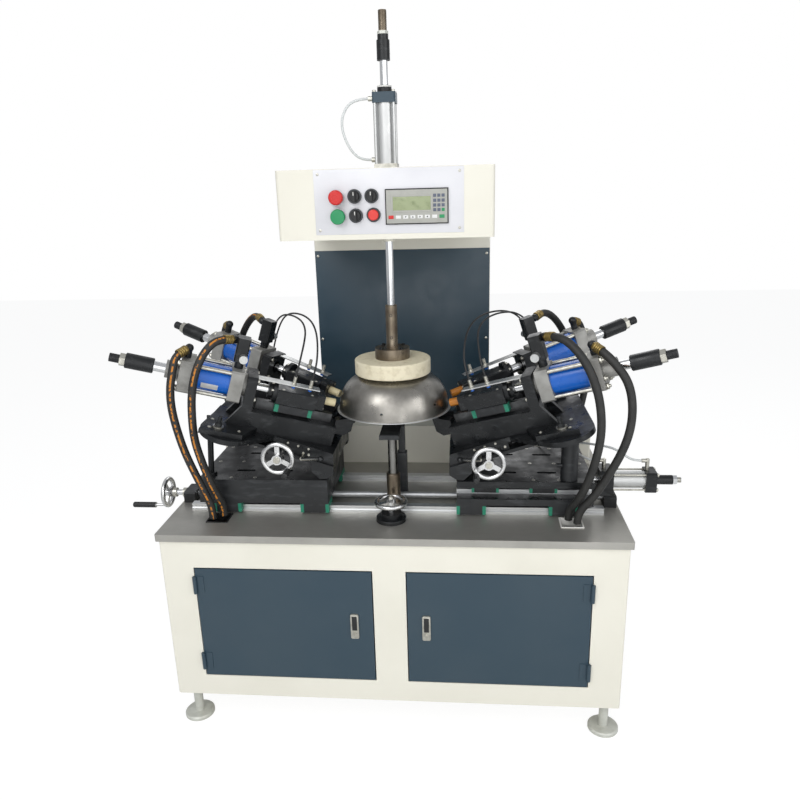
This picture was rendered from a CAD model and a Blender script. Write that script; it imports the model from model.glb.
import logging
import math
from dataclasses import dataclass
from enum import Enum
from typing import Any, Callable, Sequence

import bmesh
import bpy
from mathutils import Matrix, Vector


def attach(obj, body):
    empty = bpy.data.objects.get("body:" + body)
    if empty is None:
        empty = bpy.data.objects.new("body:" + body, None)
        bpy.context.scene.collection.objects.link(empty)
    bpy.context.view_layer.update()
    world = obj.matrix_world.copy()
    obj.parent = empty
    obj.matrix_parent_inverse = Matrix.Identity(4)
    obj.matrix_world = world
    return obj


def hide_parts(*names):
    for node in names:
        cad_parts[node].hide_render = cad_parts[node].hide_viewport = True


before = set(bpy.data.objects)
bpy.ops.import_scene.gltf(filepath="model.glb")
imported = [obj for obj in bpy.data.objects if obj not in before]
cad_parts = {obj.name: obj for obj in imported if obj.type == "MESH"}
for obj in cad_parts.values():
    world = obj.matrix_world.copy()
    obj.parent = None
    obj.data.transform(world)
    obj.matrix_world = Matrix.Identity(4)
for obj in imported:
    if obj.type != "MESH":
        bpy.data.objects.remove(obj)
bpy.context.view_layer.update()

log = logging.getLogger("punching_machine")

# Everything is drawn in millimetres in the machine's own frame and written in metres.
MM = 0.001
SMOOTH_ANGLE = math.radians(35)
HERE = Matrix.Identity(4)
TO_FRONT = (0.0, -1.0, 0.0)
# Stands a prism on its side, with its outline in Y and Z and its height along X
ON_SIDE = Matrix(((0, 0, 1, 0), (1, 0, 0, 0), (0, 1, 0, 0), (0, 0, 0, 1)))

# Places that several pieces share, in millimetres
PRESS_Y = -180.0
TILT_ANGLE = math.radians(18.0)
SWING_ANGLE = math.radians(17.33)
TIP = Vector((176.3, -47.6, 1001.8))

Point = Sequence[float]


class Side(Enum):
    """The operator's left or right half of the machine."""

    LEFT = "left"
    RIGHT = "right"

    @property
    def sign(self) -> int:
        """The sign of X on this side."""
        return 1 if self is Side.RIGHT else -1


class Row(Enum):
    """The front or the rear punch head of a side."""

    FRONT = "front"
    REAR = "rear"

    @property
    def sign(self) -> int:
        """1 in front, -1 at the rear."""
        return 1 if self is Row.FRONT else -1


def linear(code: str) -> tuple[float, float, float, float]:
    """Turn an sRGB colour code into linear values.

    Args:
        code: Six hexadecimal digits after a hash sign.

    Returns:
        Linear red, green and blue, and a full alpha.
    """
    levels = [int(code[start:start + 2], 16) / 255 for start in (1, 3, 5)]
    red, green, blue = [level / 12.92 if level <= 0.04045 else ((level + 0.055) / 1.055) ** 2.4
                        for level in levels]
    return red, green, blue, 1.0


def add_node(tree: bpy.types.NodeTree, kind: str, inputs: dict[Any, Any] | None = None,
             **settings: Any) -> bpy.types.Node:
    """Add one shader node.

    Args:
        tree: The material's or world's node tree.
        kind: The node's type name.
        inputs: A value or an output socket for each input, by name or number.
        settings: The node's own options.

    Returns:
        The new node.
    """
    node = tree.nodes.new(kind)
    for key, value in settings.items():
        setattr(node, key, value)
    for key, value in (inputs or {}).items():
        if isinstance(value, bpy.types.NodeSocket):
            tree.links.new(value, node.inputs[key])
        else:
            node.inputs[key].default_value = value
    return node


def combined(tree: bpy.types.NodeTree, operation: str, *values: Any) -> bpy.types.NodeSocket:
    """Work out a sum, a product or another mathematical operation in a node tree.

    Args:
        tree: The material's or world's node tree.
        operation: The operation's name.
        values: Its values or sockets, in order.

    Returns:
        The result's socket.
    """
    return add_node(tree, "ShaderNodeMath", dict(enumerate(values)), operation=operation).outputs[0]


def mixed(tree: bpy.types.NodeTree, factor: Any, first: Any, second: Any) -> bpy.types.NodeSocket:
    """Mix two colours.

    Args:
        tree: The material's or world's node tree.
        factor: How much of the second colour, a value or a socket.
        first: The first colour, linear values or a socket.
        second: The second colour, linear values or a socket.

    Returns:
        The mixed colour's socket.
    """
    node = add_node(tree, "ShaderNodeMix", {0: factor, 6: first, 7: second}, data_type="RGBA")
    return node.outputs[2]


def stretched(tree: bpy.types.NodeTree, value: Any, low: float, high: float,
              start: float = 0.35, end: float = 0.65) -> bpy.types.NodeSocket:
    """Map a pattern's middle range onto two limits.

    Args:
        tree: The material's node tree.
        value: The pattern's socket.
        low: The result at and below the start.
        high: The result at and above the end.
        start: The pattern's value that gives the low limit.
        end: The pattern's value that gives the high limit.

    Returns:
        The mapped value's socket.
    """
    node = add_node(tree, "ShaderNodeMapRange",
                    {"Value": value, "From Min": start, "From Max": end, "To Min": low, "To Max": high})
    return node.outputs["Result"]


@dataclass
class Surface:
    """A material's shader and coordinates, with the steps that every finish shares."""

    tree: bpy.types.NodeTree
    shader: bpy.types.Node
    place: bpy.types.NodeSocket

    def noise(self, size: float, detail: float, along: Point = (1.0, 1.0, 1.0)) -> bpy.types.NodeSocket:
        """A noise pattern of a real size.

        Args:
            size: The size of a patch in millimetres.
            detail: How many finer layers it has.
            along: A scale for each axis, below 1 to draw the pattern out along it.

        Returns:
            The pattern's value socket.
        """
        drawn = add_node(self.tree, "ShaderNodeMapping", {"Vector": self.place, "Scale": tuple(along)})
        return add_node(self.tree, "ShaderNodeTexNoise", {
            "Vector": drawn.outputs[0], "Scale": 1 / (size * MM), "Detail": detail}).outputs[0]

    def lead(self, value: bpy.types.NodeSocket, name: str) -> None:
        """Lead a value to one of the shader's inputs."""
        self.tree.links.new(value, self.shader.inputs[name])

    def stain(self, pattern: Any, colours: tuple[str, str], most: float, start: float, end: float) -> None:
        """Lay a second colour over the first where a pattern is high.

        Args:
            pattern: The pattern's socket.
            colours: The first and the second colour.
            most: The greatest share of the second colour.
            start: The pattern's value where the second colour begins.
            end: The pattern's value where its share is greatest.
        """
        share = stretched(self.tree, pattern, 0.0, most, start, end)
        self.lead(mixed(self.tree, share, linear(colours[0]), linear(colours[1])), "Base Color")

    def roughen(self, pattern: Any, low: float, high: float) -> None:
        """Vary the roughness between two values with a pattern."""
        self.lead(stretched(self.tree, pattern, low, high), "Roughness")

    def relief(self, height: Any, depth: float) -> None:
        """Lead a height pattern to the shader's normal, with its depth in millimetres."""
        bump = add_node(self.tree, "ShaderNodeBump", {
            "Height": height, "Strength": 1.0, "Distance": depth * MM})
        self.lead(bump.outputs[0], "Normal")


@dataclass(frozen=True)
class Finish:
    """A real material and its surface, with what every finish shares."""

    name: str
    colour: str
    roughness: float = 0.5
    metallic: float = 0.0

    def material(self) -> bpy.types.Material:
        """Make the material once and return it."""
        made = bpy.data.materials.get(self.name)
        if made:
            return made
        made = bpy.data.materials.new(self.name)
        made.use_nodes = True
        tree = made.node_tree
        tree.nodes.clear()
        shader = add_node(tree, "ShaderNodeBsdfPrincipled", {
            "Base Color": linear(self.colour), "Roughness": self.roughness, "Metallic": self.metallic})
        add_node(tree, "ShaderNodeOutputMaterial", {"Surface": shader.outputs[0]})
        place = add_node(tree, "ShaderNodeTexCoord").outputs["Object"]
        self.pattern(Surface(tree, shader, place))
        return made

    def pattern(self, surface: Surface) -> None:
        """Give the surface its variation; each kind of finish has its own."""


@dataclass(frozen=True)
class BakedEnamel(Finish):
    """Sprayed and baked enamel on sheet steel: a slight orange peel and faint handling marks."""

    peel: float = 2.5
    depth: float = 0.05
    soil: str = "#B9B6A8"
    soil_share: float = 0.35
    soil_patch: float = 260.0
    rub_patch: float = 60.0

    def pattern(self, surface: Surface) -> None:
        """Faint soiling in large soft patches over the peel."""
        patches = surface.noise(self.soil_patch, 5.0)
        surface.stain(patches, (self.colour, self.soil), self.soil_share, 0.42, 0.78)
        surface.roughen(surface.noise(self.rub_patch, 4.0), self.roughness - 0.06, self.roughness + 0.08)
        surface.relief(surface.noise(self.peel, 2.0), self.depth)


@dataclass(frozen=True)
class BrushedMetal(Finish):
    """Bare metal with the fine lines of its brushing or grinding, drawn coarse enough to show."""

    lines: tuple[float, float, float] = (0.04, 1.0, 1.0)
    line_size: float = 1.2
    depth: float = 0.02
    dull: str = "#6E6D69"
    dull_share: float = 0.5
    patch: float = 120.0

    def pattern(self, surface: Surface) -> None:
        """Lines along one axis with duller, smudged patches."""
        grain = surface.noise(self.line_size, 3.0, self.lines)
        smudge = surface.noise(self.patch, 5.0)
        surface.stain(smudge, (self.colour, self.dull), self.dull_share, 0.35, 0.75)
        lined = stretched(surface.tree, grain, self.roughness - 0.05, self.roughness + 0.08)
        smudged = stretched(surface.tree, smudge, -0.03, 0.12)
        surface.lead(combined(surface.tree, "ADD", lined, smudged), "Roughness")
        surface.relief(grain, self.depth)


@dataclass(frozen=True)
class TurnedMetal(Finish):
    """Metal spun or turned about an upright axis: fine rings that catch the light as bands."""

    centre: tuple[float, float] = (0.0, 0.0)
    ring: float = 3.0
    depth: float = 0.03
    dull: str = "#55534F"
    dull_share: float = 0.6
    stain_patch: float = 70.0

    def pattern(self, surface: Surface) -> None:
        """Rings about the axis, with heat and oil stains over them."""
        moved = add_node(surface.tree, "ShaderNodeMapping", {
            "Vector": surface.place, "Location": (-self.centre[0] * MM, -self.centre[1] * MM, 0.0)})
        rings = add_node(surface.tree, "ShaderNodeTexWave", {
            "Vector": moved.outputs[0], "Scale": 0.31 / (self.ring * MM), "Distortion": 0.6, "Detail": 2.0},
            wave_type="RINGS", rings_direction="SPHERICAL")
        stains = surface.noise(self.stain_patch, 6.0)
        surface.stain(stains, (self.colour, self.dull), self.dull_share, 0.38, 0.68)
        surface.roughen(stains, self.roughness - 0.05, self.roughness + 0.14)
        surface.relief(rings.outputs[1], self.depth)


@dataclass(frozen=True)
class BlackOxide(Finish):
    """Machined steel blackened in a hot bath and oiled: near black, with grey rubs and oil sheen."""

    rub: str = "#4A4C4E"
    rub_share: float = 0.55
    rub_size: float = 14.0
    oil_patch: float = 45.0
    cutter_marks: float = 1.6
    depth: float = 0.03

    def pattern(self, surface: Surface) -> None:
        """Thin worn streaks and an uneven film of oil over cutter marks."""
        streak = surface.noise(self.rub_size, 6.0, (0.25, 1.0, 1.0))
        surface.stain(streak, (self.colour, self.rub), self.rub_share, 0.55, 0.80)
        surface.roughen(surface.noise(self.oil_patch, 4.0), self.roughness - 0.12, self.roughness + 0.14)
        surface.relief(surface.noise(self.cutter_marks, 2.0, (0.1, 1.0, 1.0)), self.depth)


@dataclass(frozen=True)
class Moulded(Finish):
    """Moulded plastic or rubber: an even colour with a fine grain and slight scuffing."""

    grain: float = 0.9
    depth: float = 0.03
    scuff: str = "#808080"
    scuff_share: float = 0.12
    scuff_size: float = 18.0

    def pattern(self, surface: Surface) -> None:
        """Scuffs in small patches over the mould's grain."""
        wear = surface.noise(self.scuff_size, 5.0)
        surface.stain(wear, (self.colour, self.scuff), self.scuff_share, 0.50, 0.80)
        surface.roughen(wear, self.roughness - 0.04, self.roughness + 0.10)
        surface.relief(surface.noise(self.grain, 2.0), self.depth)


@dataclass(frozen=True)
class WrappedRubber(Finish):
    """Wrapped hydraulic hose: black rubber with the print line that runs along it."""

    stripe: str = "#C0791E"
    around: float = 0.04
    half_width: float = 0.035
    dust: str = "#3C3B38"

    def pattern(self, surface: Surface) -> None:
        """A broken line along the hose, from its own length and girth, on a wrap's faint weave."""
        tree = surface.tree
        own = add_node(tree, "ShaderNodeTexCoord").outputs["UV"]
        girth = add_node(tree, "ShaderNodeSeparateXYZ", {0: own}).outputs[1]
        beside = combined(tree, "COMPARE", girth, self.around, self.half_width)
        worn = stretched(tree, surface.noise(9.0, 4.0), 0.0, 1.0, 0.44, 0.50)
        line = combined(tree, "MULTIPLY", beside, worn)
        dusty = stretched(tree, surface.noise(40.0, 4.0), 0.0, 0.4, 0.42, 0.75)
        cover = mixed(tree, dusty, linear(self.colour), linear(self.dust))
        surface.lead(mixed(tree, line, cover, linear(self.stripe)), "Base Color")
        surface.relief(surface.noise(1.5, 2.0), 0.12)


# Cream enamel on the folded sheet housings: warm off-white with a soft shine
CREAM = BakedEnamel("cream_enamel", "#E6E3D6", 0.42, soil="#CFCBBB", soil_share=0.30)
# Slate blue enamel of the doors and the back plate: deep, slightly greyed, semi-gloss
SLATE = BakedEnamel("slate_blue_enamel", "#2B404D", 0.40, soil="#384852", soil_share=0.55)
# Bright blue enamel on the hydraulic barrels: smooth and glossy
BLUE = BakedEnamel("blue_cylinder_enamel", "#0E5FBE", 0.26, peel=4.0, depth=0.03, soil="#17488C",
                   soil_share=0.4)
# Grey-green hammered enamel of the power unit
HAMMERED = BakedEnamel("hammered_enamel", "#5E6B6C", 0.45, peel=6.0, depth=0.25, soil="#454E4F")
# Brushed stainless sheet of the tabletop: mid grey lines with oil smudges
STAINLESS = BrushedMetal("brushed_stainless_sheet", "#B4B2AC", 0.42, 0.75, dull="#7C7A74", patch=190.0)
# Brushed aluminium of the silver panel: pale, fine lines across
PANEL = BrushedMetal("brushed_aluminium_panel", "#DCDCDF", 0.52, 0.25, dull="#CECED3", dull_share=0.4)
# Clear anodised aluminium tube: satin and pale
ANODISED = BrushedMetal("anodised_aluminium", "#C9CAC9", 0.30, 0.85, lines=(1.0, 1.0, 0.05),
                        dull="#A2A3A3", dull_share=0.35)
# Grey cast and machined aluminium of the cylinder caps
CAST_GREY = BrushedMetal("machined_cast_aluminium", "#A6A5A1", 0.48, 0.55, lines=(1.0, 0.2, 1.0),
                         dull="#62615C", dull_share=0.6, patch=50.0)
# Polished cast aluminium of the hand wheels: bright, with soft reflections
POLISHED = BrushedMetal("polished_aluminium", "#D8D8D8", 0.16, 1.0, lines=(1.0, 1.0, 1.0),
                        dull="#8F8F8F", dull_share=0.35, patch=25.0)
# Ground and polished steel of rails and rods: bright, with fine lines along
GROUND = BrushedMetal("ground_steel", "#D6D7D7", 0.26, 0.9, dull="#A09F9C", dull_share=0.45, patch=60.0)
# Hard chrome on the piston rods: mirror bright with a light film of oil
CHROME = BrushedMetal("hard_chrome_rod", "#DCDDDE", 0.12, 1.0, dull="#9A9B9C", dull_share=0.35, depth=0.005)
# Oiled bare steel of the lift rod: darker, with long reflections
OILED = BrushedMetal("oiled_bare_steel", "#8F8E8B", 0.22, 1.0, lines=(1.0, 1.0, 0.05), dull="#4A4947",
                     dull_share=0.7)
# Zinc plated fasteners: pale, slightly yellow
ZINC = BrushedMetal("zinc_plated_steel", "#C9C7BE", 0.30, 1.0, dull="#8A877B", patch=12.0)
# Pale zinc primer on the levelling feet: nearly white, dull
PALE_ZINC = BrushedMetal("pale_zinc_primer", "#CFD0C8", 0.48, 0.25, dull="#A3A399", patch=30.0)
# Oil-browned turned steel of the press coupler and its flange
BROWNED = BrushedMetal("oil_browned_steel", "#8D8272", 0.30, 1.0, dull="#4B4036", dull_share=0.8, patch=40.0)
# Oiled rail steel in the shade of the slides
RAIL_DARK = BrushedMetal("oiled_rail_steel", "#5C5D5E", 0.34, 0.9, dull="#2B2B2B", dull_share=0.8, patch=30.0)
# Yellow passivated brass of hose fittings: dull olive gold
BRASS = BrushedMetal("passivated_brass", "#A08A55", 0.38, 1.0, dull="#5A4E30", patch=10.0)
# Spun stainless of the bowl: brown-grey rings, stained by drawing oil
SPUN = TurnedMetal("spun_stainless", "#9C9993", 0.30, 1.0, centre=(0.0, PRESS_Y), ring=2.6)
# Oiled black oxide on the machined blocks and plates
OXIDE = BlackOxide("black_oxide_steel", "#17191B", 0.34, 0.25)
# The same bath on cast or milled sides, duller and greyer
OXIDE_DULL = BlackOxide("black_oxide_milled", "#232527", 0.48, 0.1, rub="#55575A", rub_share=0.45)
# Natural nylon of the press pad: cream, waxy, marked by handling
NYLON = Moulded("machined_nylon", "#E2D9BE", 0.46, scuff="#A99B78", scuff_share=0.55, grain=2.0)
# Cast polyurethane strippers: cream on one side, amber on the other
CREAM_URETHANE = Moulded("cream_polyurethane", "#DCCFA6", 0.40, scuff="#A8946A", scuff_share=0.4)
AMBER_URETHANE = Moulded("amber_polyurethane", "#B9752A", 0.34, scuff="#7A4A18", scuff_share=0.4)
# Moulded plastics of buttons, knobs, grips, seals and liners
RED = Moulded("red_moulded_plastic", "#C81E1A", 0.28, scuff="#8E1512")
GREEN = Moulded("green_moulded_plastic", "#1E8C56", 0.30, scuff="#12603A")
LAMP = Moulded("red_lamp_lens", "#D8342C", 0.18, scuff="#A01F1A")
BLACK_PLASTIC = Moulded("black_moulded_plastic", "#151617", 0.42, scuff="#3A3B3C")
WHITE_PLASTIC = Moulded("white_moulded_plastic", "#DEDDD8", 0.45, scuff="#AFADA4", scuff_share=0.3)
SEAL_GREEN = Moulded("green_end_seal", "#1F7F63", 0.45, scuff="#0F4B3A", scuff_share=0.35)
TIP_BLUE = Moulded("blue_sensor_tip", "#1E66C8", 0.35, scuff="#12458C")
GREY_PLASTIC = Moulded("pale_grey_moulded_plastic", "#A9A9A2", 0.45, scuff="#8F8F88", scuff_share=0.3)
GREY_DARK = Moulded("dark_grey_moulded_plastic", "#3A3D40", 0.40, scuff="#55585B", scuff_share=0.3)
KEY_DARK = Moulded("slate_key_plastic", "#5C6373", 0.45, scuff="#474D5B")
KEY_GREY = Moulded("pale_key_plastic", "#E2E2E0", 0.42, scuff="#C0C0BE")
# Liquid crystal window: flat olive with a dull gloss
CRYSTAL = Moulded("olive_display_window", "#98A27C", 0.22, scuff="#5F6C42", scuff_share=0.8, grain=4.0,
                  depth=0.01)
LABEL = Moulded("blank_foil_label", "#CFCFD0", 0.35, 0.4, scuff="#A5A5A8")
# Hose cover, cable jacket and clear air tube
HOSE = WrappedRubber("wrapped_hose_rubber", "#1F1F1E", 0.58)
JACKET = Moulded("black_cable_jacket", "#1D1D1E", 0.50, grain=1.5)
AIR_TUBE = Moulded("clear_polyurethane_tube", "#D3D6D5", 0.25, scuff="#B4B8B7", scuff_share=0.3)


# Shapes in millimetres, each a bmesh of its own

def bevelled(shape: bmesh.types.BMesh, width: float, segments: int = 1) -> bmesh.types.BMesh:
    """Take a shape's edges off.

    Args:
        shape: The shape, which is changed.
        width: The width taken off each edge.
        segments: The faces across each bevel.

    Returns:
        The same shape.
    """
    bmesh.ops.bevel(shape, geom=shape.edges[:], offset=width, offset_type="OFFSET", affect="EDGES",
                    segments=segments, profile=0.5, material=-1)
    return shape


def block(low: Point, high: Point, bevel: float) -> bmesh.types.BMesh:
    """A block between its lowest and highest corners, with its edges rounded by a bevel."""
    shape = bmesh.new()
    middle = [(a + b) / 2 for a, b in zip(low, high)]
    size = [b - a for a, b in zip(low, high)]
    bmesh.ops.create_cube(shape, size=1, matrix=Matrix.Translation(middle) @ Matrix.Diagonal((*size, 1)))
    return bevelled(shape, bevel, segments=2)


def turned(profile: Sequence[tuple[float, float]], steps: int = 40) -> bmesh.types.BMesh:
    """A shape turned about Z from a profile of radius and height.

    Args:
        profile: The outline, from one end of the axis to the other.
        steps: The number of faces around.

    Returns:
        The closed shape.
    """
    shape = bmesh.new()
    corners = [shape.verts.new((radius, 0, height)) for radius, height in profile]
    edges = [shape.edges.new(pair) for pair in zip(corners, corners[1:])]
    bmesh.ops.spin(shape, geom=corners + edges, axis=(0, 0, 1), cent=(0, 0, 0), angle=math.tau,
                   steps=steps, use_merge=True)
    bmesh.ops.remove_doubles(shape, verts=shape.verts[:], dist=0.001)
    bmesh.ops.recalc_face_normals(shape, faces=shape.faces[:])
    return shape


def rod(radius: float, low: float, high: float, chamfer: float = 0.5, steps: int = 40) -> bmesh.types.BMesh:
    """A round bar along Z with chamfered ends."""
    return turned([(0, low), (radius - chamfer, low), (radius, low + chamfer), (radius, high - chamfer),
                   (radius - chamfer, high), (0, high)], steps)


def ring(inner: float, outer: float, low: float, high: float) -> bmesh.types.BMesh:
    """A flat ring about Z."""
    return turned([(inner, low), (outer, low), (outer, high), (inner, high), (inner, low)])


def thread(core: float, crest: float, low: float, high: float, pitch: float,
           steps: int = 28) -> bmesh.types.BMesh:
    """The ridges of a screw thread about Z, each a ring of its own height.

    Args:
        core: The radius between the ridges.
        crest: The radius on the ridges.
        low: Where the thread starts.
        high: Where it ends.
        pitch: The distance from ridge to ridge.
        steps: The number of faces around.

    Returns:
        The closed shape.
    """
    profile = [(0.0, low), (core, low)]
    height = low
    while height + pitch <= high:
        profile += [(crest, height + 0.35 * pitch), (crest, height + 0.65 * pitch), (core, height + pitch)]
        height += pitch
    profile.append((0.0, height))
    return turned(profile, steps)


def socket_screw(radius: float, height: float) -> bmesh.types.BMesh:
    """The head of a cap screw with its socket, standing on Z = 0."""
    lip = 0.12 * radius
    return turned([(0, 0.45 * height), (0.5 * radius, 0.45 * height), (0.55 * radius, height),
                   (radius - lip, height), (radius, height - lip), (radius, 0), (0, 0)], 20)


def sunk_cap(radius: float, height: float, sunk: float, bore: float) -> bmesh.types.BMesh:
    """A turned cap on Z = 0 with a chamfered rim and a shallow bore.

    Args:
        radius: The cap's radius.
        height: Its height.
        sunk: The height of the bore's floor.
        bore: The bore's radius at its floor.

    Returns:
        The closed shape.
    """
    return turned([(0, sunk), (bore, sunk), (bore + 0.6, height), (radius - 1.0, height),
                   (radius, height - 1.0), (radius, 0), (0, 0)], 28)


def hexagon(radius: float, low: float, high: float, bevel: float = 0.6) -> bmesh.types.BMesh:
    """A hexagonal nut or head along Z."""
    shape = bmesh.new()
    bmesh.ops.create_cone(shape, cap_ends=True, segments=6, radius1=radius, radius2=radius,
                          depth=high - low, matrix=Matrix.Translation((0, 0, (low + high) / 2)))
    return bevelled(shape, bevel)


def prism(outline: Sequence[tuple[float, float]], height: float) -> bmesh.types.BMesh:
    """A prism that stands on Z = 0 over an outline in X and Y."""
    shape = bmesh.new()
    face = shape.faces.new([shape.verts.new((x, y, 0)) for x, y in outline])
    raised = bmesh.ops.extrude_face_region(shape, geom=[face])
    moved = [item for item in raised["geom"] if isinstance(item, bmesh.types.BMVert)]
    bmesh.ops.translate(shape, verts=moved, vec=(0, 0, height))
    bmesh.ops.recalc_face_normals(shape, faces=shape.faces[:])
    return shape


def seal_outline(width: float, height: float, slot: float, slot_height: float) -> list[tuple[float, float]]:
    """The outline of an end seal that straddles its rail, from the middle of the rail.

    Args:
        width: The seal's width.
        height: Its height.
        slot: The width of the gap that the rail fills.
        slot_height: The height of that gap.

    Returns:
        The corners in order.
    """
    half, gap, corner = width / 2, slot / 2, 3.0
    return [(-half, 0), (-gap, 0), (-gap, slot_height), (gap, slot_height), (gap, 0), (half, 0),
            (half, height - corner), (half - corner, height), (corner - half, height),
            (-half, height - corner)]


def facing(direction: Point, at: Point) -> Matrix:
    """Turn a shape's Z toward a direction and move its foot to a point."""
    turn = Vector((0, 0, 1)).rotation_difference(Vector(direction)).to_matrix().to_4x4()
    return Matrix.Translation(at) @ turn


def moved_to(x: float, y: float, z: float) -> Matrix:
    """Move a shape to a point as it stands."""
    return Matrix.Translation((x, y, z))


class Piece:
    """One visible piece, gathered from several shapes of one finish."""

    def __init__(self, name: str, body: str, slot: str, finish: Finish) -> None:
        """Start an empty piece.

        Args:
            name: The piece's name.
            body: The body it rides on.
            slot: The record's material slot.
            finish: Its surface.
        """
        self.name = name
        self.body = body
        self.slot = slot
        self.finish = finish
        self.mesh = bmesh.new()

    def add(self, shape: bmesh.types.BMesh, *places: Matrix) -> "Piece":
        """Add a shape, once for each place.

        Args:
            shape: The shape, which is used up.
            places: Where each copy goes.

        Returns:
            The piece itself.
        """
        for place in places or (HERE,):
            copied = bpy.data.meshes.new("part")
            shape.to_mesh(copied)
            copied.transform(place)
            self.mesh.from_mesh(copied)
            bpy.data.meshes.remove(copied)
        shape.free()
        return self

    def place(self, stands_for: Sequence[str] = ()) -> None:
        """Write the piece in metres, dress it and let it ride on its body.

        Args:
            stands_for: The CAD nodes that it replaces.
        """
        bmesh.ops.scale(self.mesh, vec=(MM, MM, MM), verts=self.mesh.verts[:])
        bmesh.ops.recalc_face_normals(self.mesh, faces=self.mesh.faces[:])
        for face in self.mesh.faces:
            face.smooth = True
        for edge in self.mesh.edges:
            edge.smooth = edge.calc_face_angle(0.0) < SMOOTH_ANGLE
        data = bpy.data.meshes.new(self.name)
        self.mesh.to_mesh(data)
        self.mesh.free()
        item = add_object(self.name, data, self.body, self.finish)
        if stands_for:
            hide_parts(*stands_for)


def add_object(name: str, data: Any, body: str, finish: Finish) -> bpy.types.Object:
    """Put a mesh or curve in the scene with its finish, body and material slot.

    Args:
        name: The object's name.
        data: Its mesh or curve.
        body: The body it rides on.
        finish: Its surface.

    Returns:
        The new object.
    """
    data.materials.append(finish.material())
    item = bpy.data.objects.new(name, data)
    bpy.context.scene.collection.objects.link(item)
    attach(item, body)
    log.info("%s on %s in %s", name, body, finish.name)
    return item


def bright(name: str, body: str, finish: Finish | None = None) -> Piece:
    """Start a piece of small steel parts, zinc plated unless another finish is given."""
    return Piece(name, body, "ground_steel", finish or ZINC)


Region = tuple[Finish, Callable[[Vector], bool]]


def dress(node: str, finish: Finish, regions: Sequence[Region] = (), local: Matrix = HERE) -> None:
    """Give a CAD node its finish, and other finishes to the faces in some regions.

    Args:
        node: The node's name.
        finish: The finish of the faces that no region names.
        regions: A finish and a test for each region, on a face's centre in millimetres.
        local: Brings a point of the machine into the frame that the tests use.
    """
    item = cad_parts[node]
    data = item.data
    data.materials.clear()
    data.materials.append(finish.material())
    for other, _ in regions:
        data.materials.append(other.material())
    for face in data.polygons:
        face.use_smooth = True
        centre = local @ (Vector(face.center) / MM)
        face.material_index = 0
        for number, (_, test) in enumerate(regions, 1):
            if test(centre):
                face.material_index = number
                break
    item.modifiers.new("weld", "WELD").merge_threshold = 1e-6
    item.modifiers.new("edges", "EDGE_SPLIT").split_angle = SMOOTH_ANGLE
    log.info("%s dressed in %s", node, finish.name)


def within(value: float, limits: tuple[float, float]) -> bool:
    """Tell whether a value lies between two limits or on one of them."""
    return limits[0] <= value <= limits[1]


def tilted(side: Side) -> Matrix:
    """The tilted frame of a side: X outward along the plane, Z square to it."""
    right = Matrix.Translation((TIP.x, 0, TIP.z)) @ Matrix.Rotation(-TILT_ANGLE, 4, "Y")
    return Matrix.Diagonal((side.sign, 1, 1, 1)) @ right


def head_frame(row: Row, side: Side) -> Matrix:
    """A head's frame: X outward along the punch, -Y to the operator in front, Z up.

    Args:
        row: Front or rear.
        side: Left or right.

    Returns:
        The matrix from the head's frame to the machine.
    """
    turn = Matrix.Rotation(-TILT_ANGLE, 4, "Y") @ Matrix.Rotation(-SWING_ANGLE, 4, "Z")
    near = Matrix.Translation(TIP) @ turn
    flip = Matrix.Diagonal((side.sign, row.sign, 1, 1))
    return Matrix.Translation((0, PRESS_Y, 0)) @ flip @ near


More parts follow.
